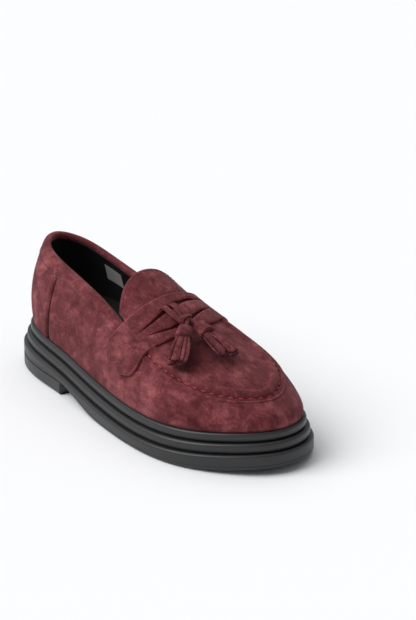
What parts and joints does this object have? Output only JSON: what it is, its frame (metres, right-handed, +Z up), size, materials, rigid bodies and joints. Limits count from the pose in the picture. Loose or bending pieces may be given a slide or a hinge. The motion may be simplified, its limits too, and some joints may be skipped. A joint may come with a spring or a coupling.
{
  "type": "tassel loafer",
  "caption": "Right slip-on suede loafer with a slotted saddle strap, knotted tassels and a thick layered rubber sole with a low heel.",
  "frame": {"origin": "centre of the bounding box, on the ground under the sole", "axes": "+Z up, +Y towards the heel (the toe points along -Y), -X is the lateral (outer) side"},
  "size_m": [0.109, 0.2802, 0.0934],
  "materials": {
    "suede": "mottled burgundy suede with a short nap",
    "suede_trim": "burgundy suede strip, cut edges",
    "lining": "smooth black lining leather",
    "rubber": "satin black moulded rubber",
    "board": "pressed fibre board",
    "foam": "dense foam",
    "steel": "sprung steel strip",
    "thread": "waxed red thread",
    "label": "plain grey patch"
  },
  "bodies": {
    "shoe": {"vamp_wall": "suede", "medial_quarter": "suede", "heel_panel": "suede", "apron": "suede", "topline_binding": "suede_trim", "saddle_strap": "suede", "bow": "suede_trim", "knot": "suede_trim", "apron_stitching": "thread", "vamp_lining": "lining", "quarter_lining": "lining", "apron_lining": "lining", "sock_lining": "lining", "size_label": "label", "footbed": "foam", "insole_board": "board", "bottom_filler": "foam", "shank": "steel", "heel_counter": "board", "toe_puff": "board", "rand": "rubber", "midsole": "rubber", "outsole": "rubber", "heel_block": "rubber"},
    "tongue_flap": {"tongue": "suede", "tongue_lining": "lining"},
    "lateral_cord_end": {"lateral_cord": "suede_trim"},
    "lateral_tassel": {"lateral_tassel_head": "suede_trim", "lateral_tassel_fringe": "suede_trim"},
    "medial_cord_end": {"medial_cord": "suede_trim"},
    "medial_tassel": {"medial_tassel_head": "suede_trim", "medial_tassel_fringe": "suede_trim"}
  },
  "joints": [
    {"name": "tongue_fold", "type": "hinge", "parent": "shoe", "child": "tongue_flap", "pos_m": [0, -0.012, 0.081], "axis": [1, 0, 0], "range_deg": [0, 25], "stiffness_Nm_per_rad": 0.5},
    {"name": "lateral_swing", "type": "hinge", "parent": "shoe", "child": "lateral_cord_end", "pos_m": [-0.00713, -0.04459, 0.07441], "axis": [-0.282, -0.282, 0.9171], "range_deg": [0, 6]},
    {"name": "lateral_lift", "type": "hinge", "parent": "lateral_cord_end", "child": "lateral_tassel", "pos_m": [-0.00908, -0.04653, 0.07321], "axis": [-0.7071, 0.7071, 0], "range_deg": [0, 60]},
    {"name": "medial_swing", "type": "hinge", "parent": "shoe", "child": "medial_cord_end", "pos_m": [-0.00193, -0.04459, 0.07441], "axis": [0.0284, -0.3243, 0.9455], "range_deg": [-3, 30]},
    {"name": "medial_lift", "type": "hinge", "parent": "medial_cord_end", "child": "medial_tassel", "pos_m": [-0.00169, -0.04741, 0.07343], "axis": [-0.9962, -0.0872, 0], "range_deg": [0, 70]}
  ]
}
